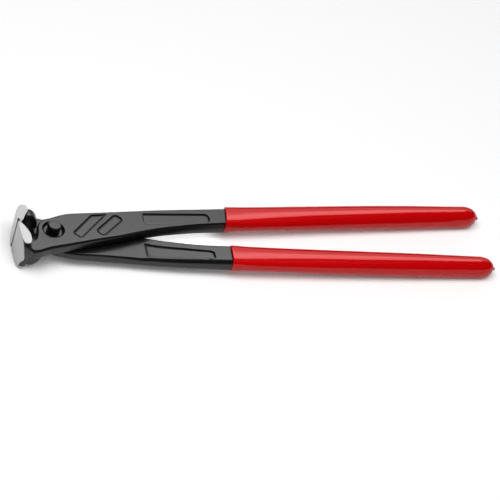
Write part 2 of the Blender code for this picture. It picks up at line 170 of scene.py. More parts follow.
# %% The bar's heights
PLATE_TOP = 6.7
LAP = 0.15
MOUTH_X = 111.8
MOUTH_HALF = 4.1
NECK_X = 12.6
PARTING_X = 55.3
LEVEL_SHARE, TOP_POWER = 0.15, 1.2
STEP_X, STEP_LENGTH, STEP_DEPTH = 52.5, 9, 0.7
RAMP_POWER = 1.35


def top_height(x):
    """Level past the plate's end, then a gentle slope to half the tang's thickness at the grip."""
    along = np.clip((x - NECK_X) / (MOUTH_X - NECK_X), 0, 1)
    fall = np.clip((along - LEVEL_SHARE) / (1 - LEVEL_SHARE), 0, 1) ** TOP_POWER
    return mix(PLATE_TOP, MOUTH_HALF, fall)


def foot_height(x):
    """On the lap plane until the arms part, a small step down, then a ramp to the grip."""
    step = LAP - STEP_DEPTH * ease((x - STEP_X) / STEP_LENGTH)
    ramp = np.clip((x - PARTING_X) / (MOUTH_X - PARTING_X), 0, 1)
    return mix(step, -MOUTH_HALF, ramp ** RAMP_POWER)


# %% [markdown]
# The sunken places are pressed into the forging by the die: a long panel on each broad face of the
# arm and two short slanting pads on the outer face. They are worked out as a depth over the plan,
# from the signed distance to a rounded box, which is negative inside it. A narrow trough along each
# border makes the dark line that the die leaves there.

# %% Sunken panels and pads
PAD_DEPTH, PAD_TROUGH, PAD_SLOPE = 0.45, 0.35, 0.45
PANEL_DEPTH, PANEL_TROUGH, PANEL_SLOPE = 0.8, 0.15, 0.5
TROUGH_HALF = 0.4
PANEL_START_CORNER = 0.5
PAD_EDGE_MARGIN = 1.6


def rounded_box(along, across, half_length, half_width, rounding):
    """Distance to a box with round corners: outside it the corner's, inside it the nearest side's."""
    a = np.abs(along) - half_length + rounding
    b = np.abs(across) - half_width + rounding
    return np.hypot(np.maximum(a, 0), np.maximum(b, 0)) + np.minimum(np.maximum(a, b), 0) - rounding


def trough(distance):
    """A bell, e to the minus square, centred on the line that lies TROUGH_HALF inside the border."""
    return np.exp(-((distance + TROUGH_HALF) / TROUGH_HALF) ** 2)


def sunk(distance, slope):
    """1 inside, 0 outside, with an eased slope of the given width on the border."""
    return ease(0.5 - distance / slope)


def pad(x, y, start, end, width, rounding):
    """A band from start to end with round corners, as a distance."""
    start, end = np.array(start), np.array(end)
    length = np.linalg.norm(end - start)
    way = (end - start) / length
    dx, dy = x - (start[0] + end[0]) / 2, y - (start[1] + end[1]) / 2
    along, across = dx * way[0] + dy * way[1], dy * way[0] - dx * way[1]
    return rounded_box(along, across, length / 2, width / 2, rounding)


def panel(x, y, near, far, start, end, rounding, bow):
    """A long panel between two lines in plan: its start bows outwards, its end has round corners."""
    low, high = curve(*np.array(near).T, x), curve(*np.array(far).T, x)
    half = np.maximum(high - low, 1) / 2
    across = (y - (low + high) / 2) / half
    size = (far[1][1] - near[1][1]) / 2
    halfway = (start + end) / 2
    shift = np.where(x < halfway, bow * (1 - np.clip(across, -1, 1) ** 2), 0)
    corner = np.where(x < halfway, PANEL_START_CORNER, rounding)
    return rounded_box(x + shift - halfway, across * size, (end - start) / 2, size, corner)


OUTER_NEAR = [(57, 6.3), (74.2, 7.5), (87.1, 8.9), (97.4, 9.7), (102, 9.9)]
OUTER_FAR = [(57, 15.3), (75.7, 16.1), (94.9, 17.0), (98.7, 17.1), (102, 17.2)]
INNER_NEAR = [(55, 4.5), (65.8, 7.25), (74.9, 8.8), (84.0, 10.3), (93.1, 11.95), (100, 13.2)]
INNER_FAR = [(55, 15.1), (64.3, 16.2), (76.6, 17.2), (88.9, 18.35), (96.6, 19.1), (100, 19.4)]
OUTER_PANEL = (OUTER_NEAR, OUTER_FAR, 58.9, 100.3, 2.8, 1.0)
INNER_PANEL = (INNER_NEAR, INNER_FAR, 56.6, 98.5, 2.6, 0.0)
FIRST_PAD = ((13.9, -4.9), (35.0, 18.2), 6.5, 1.6)
SECOND_PAD = ((28.3, -2.9), (43.0, 11.8), 6.4, 2.5)
upper_edge = far_points[-14:].T


def top_depth(x, y):
    """How deep the outer face is sunk at a place in plan."""
    inside_edge = y - curve(*upper_edge, x) + PAD_EDGE_MARGIN
    first = np.maximum(pad(x, y, *FIRST_PAD), inside_edge)
    pads = np.minimum(first, pad(x, y, *SECOND_PAD))
    outer = panel(x, y, *OUTER_PANEL)
    return (PAD_DEPTH * sunk(pads, PAD_SLOPE) + PAD_TROUGH * trough(pads)
            + PANEL_DEPTH * sunk(outer, PANEL_SLOPE) + PANEL_TROUGH * trough(outer))


def foot_depth(x, y):
    """How deep the inner face is sunk at a place in plan."""
    inner = panel(x, y, *INNER_PANEL)
    return PANEL_DEPTH * sunk(inner, PANEL_SLOPE) + PANEL_TROUGH * trough(inner)


# %% [markdown]
# A section of the bar is a box with tapered, rounded edges. Each edge has its own rounding, which
# changes along the bar, and on the arm the near wall swells into a low ridge. The two forgings are
# dressed alike, but the photograph shows one from its outer and one from its inner face, so each
# gets its own roundings on the far edge and the width that was measured on its arm.

# %% The bar's sections
TOP_STEPS = 72
FOOT_STEPS = 54
CORNER_STEPS = 9
WALL_STEPS = 5
TURN = np.linspace(0, math.pi / 2, CORNER_STEPS)[None, :]
COARSE, FINE = 0.4, 0.27
FINE_START, FINE_END = 30, 64
WALL_PROUD = ((-20, 15, 40, 56, 80, 120), (0.7, 0.7, 0.55, 0.35, 0.2, 0.15))
TOP_NEAR_ROUNDING = ((-20, 30, 60, 120), (2.0, 1.6, 1.2, 1.2))
FOOT_NEAR_ROUNDING = ((-20, 25, 48, 60, 80, 120), (1.3, 1.2, 0.7, 0.7, 0.8, 1.0))
FOOT_FAR_ROUNDING = ((-20, 25, 40, 53, 72, 90, 120), (1.3, 1.3, 1.5, 2.0, 2.6, 3.0, 3.2))
TOP_FAR_X, WIDENING_X = (-20, 6, 30, 60, 120), (-20, 40, 53, 72, 90, 120)
RIDGE_X, RIDGE_LENGTH, RIDGE_HEIGHT = 42, 14, 0.5
FOOT_FLATTENING = 0.95


def bar_grid(far_roundings, far_widening):
    """All sections of the bar: stations by points round the section."""
    t = np.concatenate([np.arange(0, FINE_START, COARSE), np.arange(FINE_START, FINE_END, FINE),
                        np.arange(FINE_END, stations[-1], COARSE)])
    near, far = curve(stations, near_points, t), curve(stations, far_points, t)
    length = np.linalg.norm(far - near, axis=1)[:, None]
    way = (far - near)[:, None, :] / length[..., None]
    x = (near[:, :1] + far[:, :1]) / 2
    proud = curve(*WALL_PROUD, x)
    top_near, top_far = curve(*TOP_NEAR_ROUNDING, x), curve(TOP_FAR_X, far_roundings, x)
    near_in, far_in = curve(*FOOT_NEAR_ROUNDING, x), curve(*FOOT_FAR_ROUNDING, x)
    length = length + curve(WIDENING_X, far_widening, x)
    ridge = RIDGE_HEIGHT * ease((x - RIDGE_X) / RIDGE_LENGTH)
    low, high = foot_height(x), top_height(x)
    face = np.linspace(0, 1, FOOT_STEPS)[None, :]
    top_face = np.linspace(0, 1, TOP_STEPS)[None, :]
    wall = np.linspace(0, 1, WALL_STEPS + 2)[None, 1:-1]
    roll_in, roll_down = np.sin(TURN), 1 - np.cos(TURN)
    foot_a, foot_b = near_in - proud, length + proud - far_in
    top_a, top_b = top_near - proud, length + proud - top_far
    far_up, near_up = far_in * FOOT_FLATTENING, near_in * FOOT_FLATTENING
    # The wall swells from nothing at its top to the ridge at its foot, and a bit past it halfway.
    swell = ridge * np.minimum(2 * wall, 1.4 - 0.4 * wall)
    along = np.concatenate([
        mix(foot_a, foot_b, face), (foot_b + far_in * roll_in)[:, 1:],
        length + proud + 0 * wall, (top_b + top_far * roll_in)[:, ::-1],
        mix(top_b, top_a, top_face)[:, 1:], (top_a - top_near * roll_in)[:, 1:],
        -proud - swell, (foot_a - ridge - near_in * roll_in)[:, :0:-1]], axis=1)
    height = np.concatenate([
        low + 0 * face, (low + far_up * roll_down)[:, 1:],
        mix(low + far_up, high - top_far, wall), (high - top_far * roll_down)[:, ::-1],
        (high + 0 * top_face)[:, 1:], (high - top_near * roll_down)[:, 1:],
        mix(high - top_near, low + near_up, wall), (low + near_up * roll_down)[:, :0:-1]], axis=1)
    plan = near[:, None, :] + way * along[..., None]
    first_top = FOOT_STEPS + 2 * CORNER_STEPS - 2 + WALL_STEPS
    on_top = slice(first_top - CORNER_STEPS // 2, first_top + TOP_STEPS + CORNER_STEPS // 2)
    on_foot = slice(0, FOOT_STEPS + CORNER_STEPS // 2)
    height[:, on_top] -= top_depth(plan[:, on_top, 0], plan[:, on_top, 1])
    height[:, on_foot] += foot_depth(plan[:, on_foot, 0], plan[:, on_foot, 1])
    return np.concatenate([plan, height[..., None]], -1)


upper_bar = bar_grid((1.5, 1.4, 1.1, 1.1, 1.1), (0, 0, 0, 0, 0, 0))
lower_bar = bar_grid((2.6, 3.1, 1.9, 1.9, 2.0), (0, 0, 0.35, 0.6, 0.65, 0.7))
print("bar grid:", upper_bar.shape)

# %% [markdown]
# The jaw is a wall across the nose that thickens outwards from its cutting edge, like half a leaf.
# It is a stack of plan outlines. The outline changes a little from the foot to the top, bulges where
# the plate runs into it, and ends in two slanting ground faces. The two jaws were measured apart,
# and the lower one's front has a narrow notch beside the cutting edge. Each outline point is a share
# of the reach from the cutting edge and a depth behind the nose.

# %% The jaw
NOSE_X = -22.4
JAW_HALF = 12.35
LEAF_FALL = 2.45
JAW_REACH = 15.7
UPPER_TOP = np.array([(0.055, 0.0), (0.25, 0.05), (0.42, 0.3), (0.57, 0.6), (0.72, 0.85), (0.82, 1.2),
                      (0.9, 1.75), (0.945, 2.6), (0.96, 3.9), (0.945, 5.0), (0.9, 5.75), (0.81, 6.25),
                      (0.68, 6.4), (0.54, 6.1), (0.41, 5.4), (0.27, 4.2), (0.11, 2.6), (0.03, 1.6)])
LOWER_TOP = np.array([(0.235, 0.0), (0.3, 0.0), (0.42, 0.1), (0.57, 0.5), (0.72, 1.1), (0.84, 1.8),
                      (0.93, 2.45), (0.985, 3.2), (1.0, 4.3), (0.98, 5.1), (0.93, 5.75), (0.83, 6.25),
                      (0.68, 6.45), (0.54, 6.45), (0.41, 6.2), (0.27, 5.1), (0.11, 3.5), (0.03, 1.9)])
UPPER_FOOT = np.array([(0.055, 0.0), (0.25, 0.0), (0.42, 0.0), (0.58, 0.05), (0.72, 0.2), (0.83, 0.56),
                       (0.91, 1.1), (0.965, 1.9), (1.0, 3.3), (0.985, 4.6), (0.95, 5.2), (0.89, 5.7),
                       (0.80, 6.1), (0.66, 6.3), (0.5, 5.9), (0.32, 4.6), (0.15, 3.05), (0.04, 1.8)])
LOWER_FOOT = np.array([(0.235, 0.0), (0.3, 0.0), (0.42, 0.0), (0.53, 0.1), (0.68, 0.6), (0.82, 1.6),
                       (0.93, 2.7), (1.0, 3.8), (1.03, 4.9), (1.02, 6.0), (1.0, 7.0), (0.93, 7.7),
                       (0.82, 8.0), (0.66, 7.5), (0.50, 5.9), (0.32, 4.5), (0.15, 3.05), (0.04, 1.8)])
BULGE_Z = (-13, -10, -8, -4, -1, 3, 6.2, 7.6, 9, 10.5, 13)
BULGE = (0, 0.05, 0.25, 0.7, 1.1, 1.7, 2.1, 1.7, 0.7, 0.1, 0)
SIDE_STEPS = 44
LEAST_DEPTH = 0.01
EDGE_BACK = (0.012, 1.35)
PLAIN_EDGE = np.array([(0.010, 0.6), (0.03, 0.05)])
NOTCHED_EDGE = np.array([(0.010, 0.6), (0.03, 0.05), (0.062, 0.0), (0.063, 0.12), (0.066, 1.1),
                         (0.214, 1.1), (0.217, 0.12), (0.218, 0.0)])


def outline_points(outline, edge):
    """An outline from the cutting edge out along the front and back along the back, evenly cut."""
    pieces = np.diff(outline, axis=0) * (JAW_REACH, 1)
    path = np.concatenate([[0], np.cumsum(np.hypot(*pieces.T))])
    evenly = np.linspace(0, path[-1], 2 * SIDE_STEPS - 3)
    rest = curve(path, outline, evenly)
    return np.concatenate([edge, rest, [EDGE_BACK]])


def jaw_grid(foot_outline, top_outline, edge, foot_extra, steps=64):
    """Plan outlines stacked from the foot to the top: heights by points round the outline."""
    share = np.linspace(0, 1, steps)[:, None]
    foot, top = outline_points(foot_outline, edge), outline_points(top_outline, edge)
    reach = mix(foot[None, :, 0] * (1 + foot_extra / JAW_REACH), top[None, :, 0], share)
    depth = np.maximum(mix(foot[None, :, 1], top[None, :, 1], share), LEAST_DEPTH)
    lowest = -JAW_HALF + LEAF_FALL * foot[None, :, 0]
    highest = JAW_HALF - LEAF_FALL * top[None, :, 0]
    height = mix(lowest, highest, share)
    side = reach * JAW_REACH + curve(BULGE_Z, BULGE, height) * reach ** 3
    return np.stack([NOSE_X + depth, -side, height], -1)


upper_jaw = jaw_grid(UPPER_FOOT, UPPER_TOP, PLAIN_EDGE, 0.1)
lower_jaw = jaw_grid(LOWER_FOOT, LOWER_TOP, NOTCHED_EDGE, 1.1)
print("jaw grids:", upper_jaw.shape, lower_jaw.shape)

# %% [markdown]
# Behind the jaw's outer end a heel reaches across the lap plane, under the plate. It stiffens the
# jaw and fills the place beside the other lever's plate. It is a quarter-round block, made as one
# profile that keeps its shape across the middle and shrinks at both sides (a superellipse).

# %% The heel
HEEL_PATH = np.array([(-18.5, -6.0), (-17.5, -8.6), (-15.2, -9.5), (-12.6, -9.2), (-10.2, -7.6),
                      (-8.5, -5.2), (-7.8, -2.4), (-7.6, 0.5), (-8.3, 3.5), (-13.0, 4.5),
                      (-18.0, 3.0), (-19.0, -2.0)])
HEEL_ANCHOR_X, HEEL_ANCHOR_Z = -17.0, -1.0
HEEL_INSIDE, HEEL_OUTSIDE = -7.0, -15.6
HEEL_SQUARENESS = 5.0


def heel_grid(across_steps=40, round_steps=72):
    """The profile across the heel: its size and place follow a superellipse, |a|^n + |b|^n = 1."""
    closed = np.concatenate([HEEL_PATH, HEEL_PATH[:1]])
    path = np.concatenate([[0], np.cumsum(np.hypot(*np.diff(closed, axis=0).T))])
    profile = curve(path, closed, np.linspace(0, path[-1], round_steps + 1)[:-1])
    turn = np.linspace(-math.pi / 2, math.pi / 2, across_steps + 2)[1:-1, None]
    power = 2 / HEEL_SQUARENESS
    place = np.sign(np.sin(turn)) * np.abs(np.sin(turn)) ** power
    size = np.abs(np.cos(turn)) ** power
    x = HEEL_ANCHOR_X + (profile[None, :, 0] - HEEL_ANCHOR_X) * size
    z = HEEL_ANCHOR_Z + (profile[None, :, 1] - HEEL_ANCHOR_Z) * size
    y = mix(HEEL_OUTSIDE, HEEL_INSIDE, (place + 1) / 2) + 0 * x
    return np.stack([x, y, z], -1)[:, ::-1]


heel = heel_grid()
print("heel grid:", heel.shape)

# %% [markdown]
# The rivet stands in a round recess that a cutter sinks into the plate, with a flared rim. The same
# turning helper makes the cutter, the clearance beside the other lever's eye, and the rivet.

# %% Turned pieces
ROUND_STEPS = 96


def turned_grid(profile):
    """Each (radius, height) pair of the profile carried round the joint's axis."""
    angle = np.linspace(0, math.tau, ROUND_STEPS + 1)[None, :-1]
    radius, height = np.asarray(profile, float).T[:, :, None]
    return np.stack([radius * np.cos(angle), radius * np.sin(angle), height + 0 * angle], -1)


def bevel(corner_radius, corner_height, rounding, turns=6):
    """Points of a quarter round on a profile's outer upper corner."""
    return [(corner_radius - rounding * (1 - math.cos(a)), corner_height - rounding * (1 - math.sin(a)))
            for a in np.linspace(0, math.pi / 2, turns)]


def apply_boolean(target, operand, operation):
    """Works a Boolean into target's mesh and removes the operand."""
    modifier = target.modifiers.new(operand.name, "BOOLEAN")
    modifier.operation = operation
    modifier.solver = "MANIFOLD"
    modifier.object = operand
    evaluated = target.evaluated_get(bpy.context.evaluated_depsgraph_get())
    worked = bpy.data.meshes.new_from_object(evaluated)
    target.modifiers.clear()
    target.data = worked
    bpy.data.objects.remove(operand)


def place(made, turn):
    """Moves a mesh from the joint's axis to the CAD's place: turn is 1, or -1 for turned over."""
    to_pivot = Matrix.Translation(Vector(pivot * MM))
    made.data.transform(to_pivot @ Matrix.Diagonal((1, turn, turn, 1)))
    return made


# %% [markdown]
# Where the jaw, the plate and the heel meet, a forging has a fillet. The union leaves sharp inner
# creases there, so every point near one is moved a little towards the middle of its neighbours,
# again and again, while the ground faces are held still.

# %% Reading meshes as arrays
def read(items, key, width, kind=np.float32):
    """One value of every item of a mesh, as an array with a row for each item."""
    values = np.empty(len(items) * width, kind)
    items.foreach_get(key, values)
    return values.reshape(-1, width) if width > 1 else values


# %% Finding the hollow creases
CREASE_ANGLE = math.radians(25)
LEAST_HOLLOW = 0.001


def hollow_creases(mesh, co, edges):
    """Middles of the edges whose two faces turn by more than the angle towards each other."""
    normals = read(mesh.polygons, "normal", 3)
    centres = read(mesh.polygons, "center", 3) / MM
    loop_edges = read(mesh.loops, "edge_index", 1, np.int32)
    sizes = read(mesh.polygons, "loop_total", 1, np.int32)
    loop_faces = np.repeat(np.arange(len(sizes)), sizes)
    order = np.argsort(loop_edges, kind="stable")
    paired = loop_edges[order]
    both = np.flatnonzero(paired[1:] == paired[:-1])
    one, two = loop_faces[order[both]], loop_faces[order[both + 1]]
    bent = np.sum(normals[one] * normals[two], 1)
    hollow = np.sum(normals[one] * (centres[two] - centres[one]), 1) > LEAST_HOLLOW
    crease = edges[paired[both[(bent < math.cos(CREASE_ANGLE)) & hollow]]]
    return co[crease].mean(1)


# %% Fillets by local smoothing
FILLET_REACH = 2.2
FILLET_ROUNDS = 14
FILLET_STRENGTH = 0.6
CHUNK = 2000


def soften_creases(mesh, held):
    """Averages points with their neighbours, the more the nearer they are to a hollow crease."""
    co = read(mesh.vertices, "co", 3).astype(float) / MM
    edges = read(mesh.edges, "vertices", 2, np.int32)
    middles = hollow_creases(mesh, co, edges)
    middles = middles[~held(middles)]
    weight = np.zeros(len(co))
    region = np.flatnonzero((co[:, 0] < 0) & ~held(co))
    for start in range(0, len(region), CHUNK):
        part = region[start:start + CHUNK]
        gap = np.sqrt(((co[part][:, None] - middles[None]) ** 2).sum(-1).min(1))
        weight[part] = ease(1 - gap / FILLET_REACH)
    degree = np.bincount(edges.ravel(), minlength=len(co))[:, None]
    for _ in range(FILLET_ROUNDS):
        total = np.zeros_like(co)
        np.add.at(total, edges[:, 0], co[edges[:, 1]])
        np.add.at(total, edges[:, 1], co[edges[:, 0]])
        co += FILLET_STRENGTH * weight[:, None] * (total / degree - co)
    mesh.vertices.foreach_set("co", (co * MM).astype(np.float32).ravel())
    mesh.update()
    return len(middles), int((weight > 0).sum())


def ground(points):
    """Whether points lie on the ground faces of the jaw: its front and its two slanting ends."""
    x, y, z = points.T
    leaf = np.abs(z) > JAW_HALF - LEAF_FALL * np.abs(y) / JAW_REACH - 0.4
    return leaf & (x < NOSE_X + 8.5) | (x < NOSE_X + 1.0)


# %% [markdown]
# Three cuts are turned about the joint's axis: the round recess for the rivet's head, the rivet hole,
# and the clearance that lets the other lever's eye swing past the heel.

# %% The cuts about the joint
RECESS_FLOOR_RADIUS, RECESS_DEPTH = 5.0, 2.0
BOWL_RADIUS, BOWL_TURN = 1.75, math.radians(80)
SWING_RADIUS, SWING_FOOT = 11.5, -20
HOLE_RADIUS, HOLE_FOOT = 3.35, -2


def recess_profile():
    """The recess: a level floor, then an upright quarter round out to a small flare at the rim."""
    turn = np.linspace(0, BOWL_TURN, 12)
    bowl = np.stack([RECESS_FLOOR_RADIUS + BOWL_RADIUS * np.sin(turn),
                     PLATE_TOP - RECESS_DEPTH + BOWL_RADIUS * (1 - np.cos(turn))], -1)
    rim = [(6.8, PLATE_TOP - 0.22), (6.92, PLATE_TOP - 0.06), (7.1, PLATE_TOP), (7.1, PLATE_TOP + 1)]
    return np.concatenate([bowl, rim])


print("recess profile:", recess_profile().shape)

# %% [markdown]
# A Boolean union joins bar, heel and jaw, and differences make the cuts. They need closed skins whose
# faces all point outwards: a skin that is inside out leaves doubled faces in the result. The cuts
# leave some slivers with no area on the hole's rims, and those are merged away at the end.

# %% Both forgings
MERGE_DISTANCE = 1e-7
SHARP_ANGLE = math.radians(32)


def drop_slivers(mesh):
    """Merges points that coincide, which takes away the slivers that a Boolean leaves on a rim."""
    work = bmesh.new()
    work.from_mesh(mesh)
    bmesh.ops.dissolve_degenerate(work, dist=MERGE_DISTANCE, edges=work.edges[:])
    work.to_mesh(mesh)
    work.free()


def forging(name, turn, bar, jaw):
    """Bar, jaw and heel in one, with the swing clearance, the recess and the rivet hole cut."""
    made = tube(name, bar)
    block_heel = tube(name + "_heel", heel)
    swing = tube(name + "_swing", turned_grid([(SWING_RADIUS, SWING_FOOT), (SWING_RADIUS, LAP)]))
    apply_boolean(block_heel, swing, "DIFFERENCE")
    apply_boolean(made, block_heel, "UNION")
    apply_boolean(made, block(name + "_jaw", jaw), "UNION")
    print(name, "creases and softened points:", soften_creases(made.data, ground))
    recess = tube(name + "_recess", turned_grid(recess_profile()))
    apply_boolean(made, recess, "DIFFERENCE")
    hole = tube(name + "_hole", turned_grid([(HOLE_RADIUS, HOLE_FOOT), (HOLE_RADIUS, PLATE_TOP)]))
    apply_boolean(made, hole, "DIFFERENCE")
    drop_slivers(made.data)
    made.data.shade_smooth()
    made.data.set_sharp_from_angle(angle=SHARP_ANGLE)
    return place(made, turn)


upper_forging = forging("upper_forging", 1, upper_bar, upper_jaw)
lower_forging = forging("lower_forging", -1, lower_bar, lower_jaw)
for made in (upper_forging, lower_forging):
    made.data.calc_loop_triangles()
    print(made.name, len(made.data.loop_triangles), "triangles")

# %% [markdown]
# The rivet has a standing head with a soft edge on the outer side, and a low closed head on the
# other.

# %% The rivet
HEAD_RADIUS, HEAD_TOP, HEAD_EDGE = 4.05, 10.6, 0.75
TAIL_RADIUS, TAIL_FOOT, TAIL_EDGE = 4.6, -7.3, 0.6
SHANK_RADIUS, SHANK_HALF, SHOULDER = 3.2, 4.9, 0.1
tail = [(r, -z) for r, z in bevel(TAIL_RADIUS, -TAIL_FOOT, TAIL_EDGE)][::-1]
shank = [(TAIL_RADIUS, -SHANK_HALF - SHOULDER), (SHANK_RADIUS, -SHANK_HALF),
         (SHANK_RADIUS, SHANK_HALF), (HEAD_RADIUS, SHANK_HALF + SHOULDER), (HEAD_RADIUS, 7.5)]
head = bevel(HEAD_RADIUS, HEAD_TOP, HEAD_EDGE, turns=9)
rivet_profile = ([(0.3, TAIL_FOOT), (2.0, TAIL_FOOT), (3.4, TAIL_FOOT)] + tail + shank + head
                 + [(2.0, HEAD_TOP), (0.3, HEAD_TOP)])
rivet = place(tube("rivet", turned_grid(rivet_profile)), 1)
rivet.data.set_sharp_from_angle(angle=SHARP_ANGLE)
print("rivet:", len(rivet_profile), "points in its profile")

# %% [markdown]
# Each grip is a dip of thick vinyl over the tang. It starts as a soft box at the mouth, swells into
# an oval, and ends in a dome with the nib where the last drop hung. A section is a superellipse, so
# one number takes it from box to oval, and the sections follow the bowed line of the tang. The mouth
# isn't cut square, and the grip stands a little higher and further out than the tang, as measured.

# %% The grips' sections
TIP_X = 277.6
GRIP_STEPS = 150
DOME_STEPS = 22
DOME_LENGTH, DOME_POWER = 9.8, 2.1
NIB_LENGTH, NIB_RADIUS, NIB_SAG = 1.1, 1.2, 1.3
LIP = 0.4
MOUTH_REACH = 8
POCKET_HALF_WIDTH, POCKET_HALF_HEIGHT, POCKET_SQUARENESS = 6.1, 4.2, 5
TANG_START_Y, TANG_END_Y, TANG_BOW = 16.4, 21.8, 0.09
GRIP_SPREAD, GRIP_LIFT = 0.2, 0.6
GRIP_SHARES = (-0.01, 0.08, 0.3, 0.5, 0.7, 0.9, 1.0)
GRIP_HALF_WIDTHS = (7.95, 8.15, 7.88, 7.49, 7.09, 6.3, 6.1)
GRIP_HALF_HEIGHTS = (5.2, 5.15, 6.11, 6.7, 7.13, 7.0, 6.9)
GRIP_SQUARENESS = (3.6, 2.7, 2.3, 2.3, 2.2, 2.2, 2.2)


def grip_line(x):
    """The middle of the tang: straight from mouth to tip with a slight bow, a half sine."""
    share = np.clip((x - MOUTH_X) / (TIP_X - MOUTH_X), -0.05, 1)
    return mix(TANG_START_Y, TANG_END_Y, share + TANG_BOW * np.sin(math.pi * share))


def oval(half_width, half_height, squareness, steps=72):
    """Sections |y/a|^n + |z/b|^n = 1, n from a soft box to an oval: rows by points, as (y, z)."""
    turn = np.linspace(0, math.tau, steps + 1)[None, :-1]
    powers = np.abs(np.cos(turn)) ** squareness + np.abs(np.sin(turn)) ** squareness
    radius = powers ** (-1 / squareness)
    return half_width * radius * np.cos(turn), half_height * radius * np.sin(turn)


def grip_nib(half_width, half_height, squareness, lift):
    """Four small rings past the dome's end that sag a little towards the floor."""
    x = TIP_X - NIB_LENGTH + np.array([0.35, 0.8, 1.02, 1.1])
    size = np.array([1.15, 1.0, 0.75, 0.4])[:, None] / min(half_width, half_height)
    y, z = oval(half_width + 0 * size, half_height + 0 * size, squareness + 0 * size)
    sag = NIB_SAG * lift * np.array([0.7, 1.0, 1.0, 1.0])[:, None]
    return np.stack([x[:, None] + 0 * y, grip_line(x)[:, None] + y * size, z * size - sag], -1)


def grip_pocket(mouth):
    """Rings down the pocket that the tang fills, from its end out to the lip."""
    x = mouth + np.array([5.0, 2.0, 0.6, 0.15, 0.0])
    spread = np.array([0.0, 0.0, 0.0, 0.12, 0.35])[:, None]
    squareness = POCKET_SQUARENESS + 0 * spread
    y, z = oval(POCKET_HALF_WIDTH + spread, POCKET_HALF_HEIGHT + spread, squareness)
    return np.stack([x[:, None] + 0 * y, grip_line(x)[:, None] + y, z], -1)


# %% The grips
def grip_grid(length, slant, lift):
    """Rings from the pocket inside the mouth, round the lip, along the grip and over its end."""
    mouth = TIP_X - length
    dome_start = TIP_X - NIB_LENGTH - DOME_LENGTH
    round_in = np.linspace(0, math.pi / 2, 7)[1:]
    along = np.linspace(mouth + LIP, dome_start, GRIP_STEPS)[1:]
    dome = np.sin(np.linspace(0, math.pi / 2, DOME_STEPS))[1:]
    x = np.concatenate([mouth + LIP * (1 - np.cos(round_in)), along, dome_start + DOME_LENGTH * dome])
    share = (x - mouth) / (TIP_X - NIB_LENGTH - mouth)
    width = curve(GRIP_SHARES, GRIP_HALF_WIDTHS, share)[:, None]
    height = curve(GRIP_SHARES, GRIP_HALF_HEIGHTS, share)[:, None]
    squareness = curve(GRIP_SHARES, GRIP_SQUARENESS, share)[:, None]
    into = np.clip((x - dome_start) / DOME_LENGTH, 0, 1)
    smallest = NIB_RADIUS / np.minimum(width, height)[:, 0]
    shrink = np.maximum(np.sqrt(1 - into ** DOME_POWER), smallest)[:, None]
    inset = np.zeros((len(x), 1))
    inset[:len(round_in), 0] = LIP * (1 - np.sin(round_in))
    y, z = oval(width - inset, height - inset, squareness)
    outer = np.stack([x[:, None] + 0 * y, grip_line(x)[:, None] + y * shrink, z * shrink], -1)
    nib = grip_nib(width[-1, 0], height[-1, 0], squareness[-1, 0], lift)
    grid = np.concatenate([grip_pocket(mouth), outer, nib])
    near_mouth = 1 - ease((grid[..., 0] - mouth) / MOUTH_REACH)
    across = (grid[..., 1] - grip_line(grid[..., 0])) / width[0]
    tilt = slant[0] + slant[1] * across + slant[2] * grid[..., 2] / height[0]
    grid[..., 0] += near_mouth * tilt
    grid[..., 1:] += GRIP_SPREAD, lift
    return grid


def grip(name, turn, length, slant, lift):
    """A grip as one closed skin, its pocket included."""
    return place(tube(name, grip_grid(length, slant, lift)), turn)


upper_sleeve = grip("upper_sleeve", 1, 165.8, (-0.5, 1.1, 0.2), GRIP_LIFT)
lower_sleeve = grip("lower_sleeve", -1, 169.1, (0.1, -0.45, -0.1), -GRIP_LIFT)
print("grips:", len(upper_sleeve.data.vertices), "points each")

# %% [markdown]
# Shader maths reads best as plain expressions. A small class wraps a socket: an operator on it adds
# the Math node and wraps the result.

# %% Expressions for shader nodes
class Value:
    """A number that a node gives, with the usual operators."""

    def __init__(self, paint, socket):
        self.paint, self.socket = paint, socket

    def math(self, operation, *others):
        """The Math node of this operation on the value, wrapped."""
        return self.paint.node("ShaderNodeMath", {"operation": operation}, [self, *others])

    def __add__(self, other):
        return self.math("ADD", other)

    def __radd__(self, other):
        return self.math("ADD", other)

    def __sub__(self, other):
        return self.math("SUBTRACT", other)

    def __rsub__(self, other):
        return (self * -1).math("ADD", other)

    def __mul__(self, other):
        return self.math("MULTIPLY", other)

    def __rmul__(self, other):
        return self.math("MULTIPLY", other)

    def between(self, start, end):
        """0 below start, 1 above end, smooth between them."""
        return self.paint.node("ShaderNodeMapRange", {"interpolation_type": "SMOOTHSTEP"},
                               {"Value": self, "From Min": start, "From Max": end})


